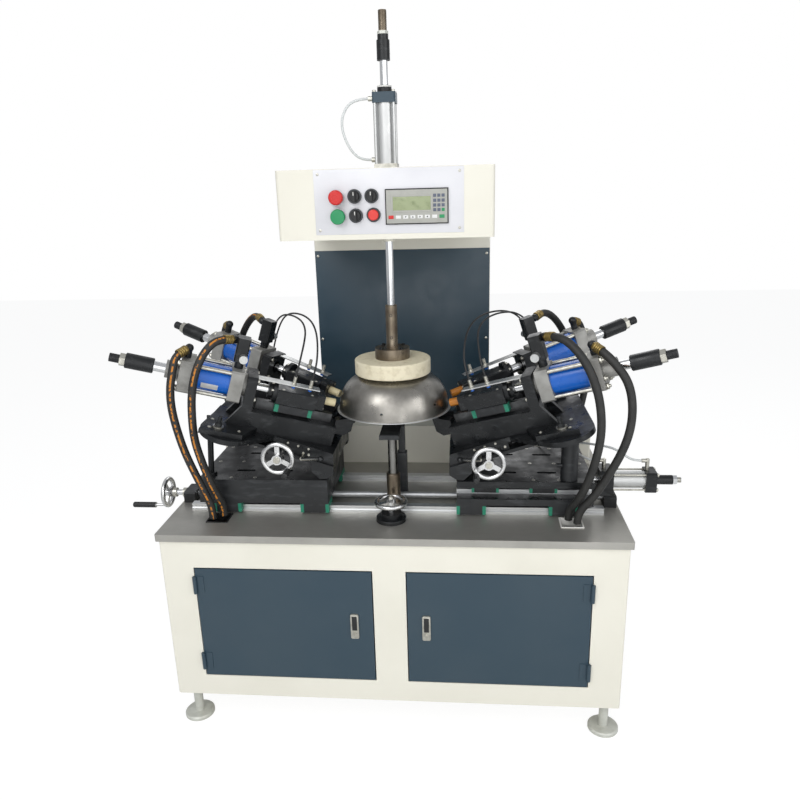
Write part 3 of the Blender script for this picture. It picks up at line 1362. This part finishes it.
@dataclass
class Cord:
    """One hose, cable or tube along its route."""

    name: str
    line: Line
    body: str
    node: str
    slot: str
    finish: Finish
    points: list[Point]
    length: float

    def build(self) -> None:
        """Lay the line as one smooth spline and declare its length."""
        radius, stiffness = self.line.value
        data = bpy.data.curves.new(self.name, "CURVE")
        data.dimensions = "3D"
        data.bevel_depth = radius * MM
        data.bevel_resolution = 5
        data.resolution_u = 10
        data.use_fill_caps = True
        spline = data.splines.new("NURBS")
        spline.points.add(len(self.points) - 1)
        for target, point in zip(spline.points, self.points):
            target.co = (point[0] * MM, point[1] * MM, point[2] * MM, 1.0)
        spline.order_u = 3
        spline.use_endpoint_u = True
        item = add_object(self.name, data, self.body, self.finish)
        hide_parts(self.node)


# Hose routes beyond the elbow, as X away from the middle, Y and Z, with each hose's length
HOSES: dict[tuple[Row, str, Side], tuple[float, list[Point]]] = {
    (Row.FRONT, "cap", Side.LEFT): (550, [
        (596, -414, 1150), (605, -422, 1105), (608, -424, 1050), (602, -420, 985), (588, -413, 905),
        (566, -400, 824), (547, -387, 756), (539, -378, 718), (539, -378, 684)]),
    (Row.FRONT, "cap", Side.RIGHT): (594, [
        (618, -416, 1160), (648, -428, 1118), (662, -432, 1060), (662, -430, 990), (645, -424, 920),
        (612, -410, 840), (578, -394, 768), (541, -379, 718), (541, -379, 684)]),
    (Row.FRONT, "valve", Side.LEFT): (632, [
        (484, -394, 1222), (508, -414, 1190), (528, -424, 1145), (543, -428, 1085), (550, -426, 1015),
        (553, -420, 950), (544, -408, 880), (530, -392, 805), (518, -372, 748), (512, -356, 716),
        (512, -356, 684)]),
    (Row.FRONT, "valve", Side.RIGHT): (666, [
        (488, -396, 1224), (518, -420, 1196), (547, -438, 1150), (568, -448, 1092), (579, -450, 1030),
        (582, -444, 965), (572, -430, 885), (556, -404, 805), (534, -377, 744), (519, -356, 714),
        (519, -356, 684)]),
}
REAR_HOSES: dict[str, tuple[float, list[Point]]] = {
    "cap": (560, [(600, 56, 1164), (620, 68, 1122), (628, 72, 1062), (626, 70, 990), (614, 64, 920),
                  (594, 54, 840), (568, 45, 764), (549, 38, 716), (549, 38, 684)]),
    "valve": (650, [(488, 36, 1224), (518, 60, 1196), (547, 78, 1150), (568, 88, 1092), (579, 90, 1030),
                    (582, 84, 965), (572, 72, 885), (556, 62, 805), (537, 61, 744), (523, 62, 714),
                    (523, 62, 684)]),
}
SENSOR_CABLES: tuple[tuple[float, list[Point]], ...] = (
    (914, [(216, -262, 1142), (217, -236, 1180), (226, -200, 1214), (246, -158, 1238), (278, -112, 1250),
           (316, -62, 1250), (354, -6, 1240), (390, 54, 1216), (424, 106, 1170), (454, 146, 1104),
           (478, 170, 1030), (492, 178, 960), (497, 177, 894), (497, 177, 829)]),
    (894, [(261, -270, 1158), (256, -240, 1192), (258, -202, 1220), (276, -158, 1240), (308, -112, 1248),
           (344, -60, 1246), (380, -2, 1234), (416, 56, 1204), (450, 104, 1154), (478, 138, 1090),
           (500, 158, 1022), (512, 165, 955), (516, 165, 892), (516, 165, 829)]),
)
INFEED_TUBES: tuple[tuple[float, list[Point]], ...] = (
    (391, [(624, -210, 812), (600, -210, 812), (574, -198, 822), (548, -172, 832), (520, -130, 828),
           (490, -78, 814), (464, -22, 796), (449, 30, 774), (446, 64, 762), (446, 93, 762)]),
    (476, [(753, -210, 812), (730, -210, 812), (704, -208, 826), (674, -200, 846), (640, -184, 850),
           (602, -156, 846), (562, -118, 838), (524, -70, 824), (494, -16, 804), (476, 34, 780),
           (472, 66, 768), (472, 93, 768)]),
)
PRESS_TUBE: tuple[float, list[Point]] = (254, [
    (-46, -180, 1861.5), (-74, -180, 1861.5), (-106, -183, 1846), (-124, -184, 1806), (-117, -182, 1762),
    (-96, -180, 1722), (-68, -180, 1702), (-41.5, -180, 1702)])


@dataclass
class Lines:
    """All hoses, cables and air tubes, with the straight run of each where it starts."""

    outlet: float = 22.0
    run_out: float = 30.0
    sensor_top: tuple[float, float] = (62.0, 92.0)

    def build(self) -> None:
        """Lay every line."""
        for side in Side:
            for row in Row:
                for kind in ("cap", "valve"):
                    self.hose(kind, row, side)
            for number, (length, route) in enumerate(SENSOR_CABLES):
                self.sensor_cable(number, length, route, side)
        for number, (length, route) in enumerate(INFEED_TUBES, 1):
            Cord("infeed_tube_%d" % number, Line.AIR, "carriage_right", "infeed_tubes", "tube_polyurethane",
                 AIR_TUBE, route, length).build()
        Cord("press_tube", Line.AIR, "frame", "press_air_tube", "tube_polyurethane", AIR_TUBE,
             PRESS_TUBE[1], PRESS_TUBE[0]).build()

    def hose(self, kind: str, row: Row, side: Side) -> None:
        """One hydraulic hose from its elbow down through the tabletop."""
        length, route = REAR_HOSES[kind] if row is Row.REAR else HOSES[(row, kind, side)]
        place, port = head_frame(row, side), PORTS[kind]
        runs = (self.outlet, self.outlet + self.run_out)
        start = [tuple(place @ port.point(distance)) for distance in runs]
        placed = [(side.sign * x, y, z) for x, y, z in route]
        key = "%s_%s" % (row.value, side.value)
        Cord("hose_%s_%s" % (kind, key), Line.HOSE, "head_" + key, "hoses_" + key, "hose_rubber", HOSE,
             start + placed, length).build()

    def sensor_cable(self, number: int, length: float, route: list[Point], side: Side) -> None:
        """One sensor cable from the sensor's top to its gland."""
        place = head_frame(Row.FRONT, side)
        x, y = PunchHead.sensors_x[number], PunchHead.sensor_y
        start = [tuple(place @ Vector((x, y, z))) for z in self.sensor_top]
        placed = [(side.sign * along, across, up) for along, across, up in route]
        Cord("sensor_cable_%d_%s" % (number + 1, side.value), Line.CABLE, "head_front_" + side.value,
             "sensor_cables_" + side.value, "cable_jacket", JACKET, start + placed, length).build()


@dataclass
class Studio:
    """The pale floor, the soft light and the camera."""

    eye: Point = (216.5, -2276.2, 1621.6)
    yaw: float = -0.094
    pitch: float = -0.289
    roll: float = -0.028
    focal: float = 710.07
    picture: float = 800.0
    sensor: float = 36.0
    floor_half: float = 9.0
    floor_glow: float = 0.8
    gloss_share: float = 0.35

    def build(self) -> None:
        """Set the floor, the lamps, the world and the camera."""
        self.floor()
        self.world()
        self.lamp("key_light", (-1.6, -3.2, 3.9), 2.6, 78)
        self.lamp("fill_light", (3.2, -2.6, 2.2), 3.0, 46)
        self.lamp("low_light", (0.2, -3.4, 1.3), 3.2, 40)
        self.lamp("back_light", (0.4, 3.0, 3.2), 2.4, 30)
        self.camera()
        bpy.context.scene.view_settings.view_transform = "Standard"

    def floor(self) -> None:
        """A wide pale floor."""
        shape = bmesh.new()
        bmesh.ops.create_grid(shape, x_segments=1, y_segments=1, size=self.floor_half)
        data = bpy.data.meshes.new("floor")
        shape.to_mesh(data)
        shape.free()
        made = bpy.data.materials.new("pale_floor")
        made.use_nodes = True
        tree = made.node_tree
        tree.nodes.clear()
        base = add_node(tree, "ShaderNodeBsdfDiffuse", {"Color": linear("#F2F2F0")})
        white = add_node(tree, "ShaderNodeEmission", {"Color": linear("#FFFFFF"), "Strength": 1.12})
        seen = add_node(tree, "ShaderNodeLightPath").outputs["Is Camera Ray"]
        share = combined(tree, "MULTIPLY", seen, self.floor_glow)
        both = add_node(tree, "ShaderNodeMixShader", {0: share, 1: base.outputs[0], 2: white.outputs[0]})
        add_node(tree, "ShaderNodeOutputMaterial", {"Surface": both.outputs[0]})
        data.materials.append(made)
        item = bpy.data.objects.new("floor", data)
        bpy.context.scene.collection.objects.link(item)

    def world(self) -> None:
        """An even grey light with a white background for the eye, for gloss and for glass."""
        world = bpy.data.worlds.new("studio")
        bpy.context.scene.world = world
        world.use_nodes = True
        tree = world.node_tree
        tree.nodes.clear()
        rays = add_node(tree, "ShaderNodeLightPath").outputs
        seen = combined(tree, "MAXIMUM", rays["Is Camera Ray"], rays["Is Transmission Ray"])
        gloss = combined(tree, "MULTIPLY", rays["Is Glossy Ray"], self.gloss_share)
        colour = mixed(tree, combined(tree, "MAXIMUM", seen, gloss), linear("#9B9EA3"), linear("#FFFFFF"))
        light = add_node(tree, "ShaderNodeBackground", {"Color": colour, "Strength": 1.0})
        add_node(tree, "ShaderNodeOutputWorld", {"Surface": light.outputs[0]})

    def lamp(self, name: str, place: Point, size: float, power: float) -> None:
        """A square soft lamp aimed at the machine's middle.

        Args:
            name: The lamp's name.
            place: Where it hangs, in metres.
            size: The length of a side, in metres.
            power: Its power in watts.
        """
        data = bpy.data.lights.new(name, "AREA")
        data.shape = "SQUARE"
        data.size = size
        data.energy = power
        item = bpy.data.objects.new(name, data)
        item.location = place
        aim = Vector((0, -0.1, 0.9)) - Vector(place)
        item.rotation_euler = aim.to_track_quat("-Z", "Y").to_euler()
        bpy.context.scene.collection.objects.link(item)

    def camera(self) -> None:
        """The camera at the photograph's place, with its pitch, yaw and slight roll."""
        ahead = Vector((math.sin(self.yaw) * math.cos(self.pitch), math.cos(self.yaw) * math.cos(self.pitch),
                        math.sin(self.pitch)))
        right = Vector((math.cos(self.yaw), -math.sin(self.yaw), 0))
        up = right.cross(ahead)
        across = math.cos(self.roll) * right + math.sin(self.roll) * up
        upright = -math.sin(self.roll) * right + math.cos(self.roll) * up
        turn = Matrix((across, upright, -ahead)).transposed().to_4x4()
        data = bpy.data.cameras.new("camera")
        data.sensor_width = self.sensor
        data.lens = self.focal * self.sensor / self.picture
        data.clip_start = 0.05
        item = bpy.data.objects.new("camera", data)
        item.matrix_world = Matrix.Translation(Vector(self.eye) * MM) @ turn
        bpy.context.scene.collection.objects.link(item)
        bpy.context.scene.camera = item


def main() -> None:
    """Build every sub-assembly in order."""
    logging.basicConfig(level=logging.INFO, format="%(message)s")
    Studio().build()
    Lines().build()
    Housing().build()
    ControlPanel().build()
    Press().build()
    Railway().build()
    Support().build()
    for side in Side:
        TiltStack(side).build()
        for row in Row:
            PunchHead(row, side).build()


if __name__ == "__main__":
    main()
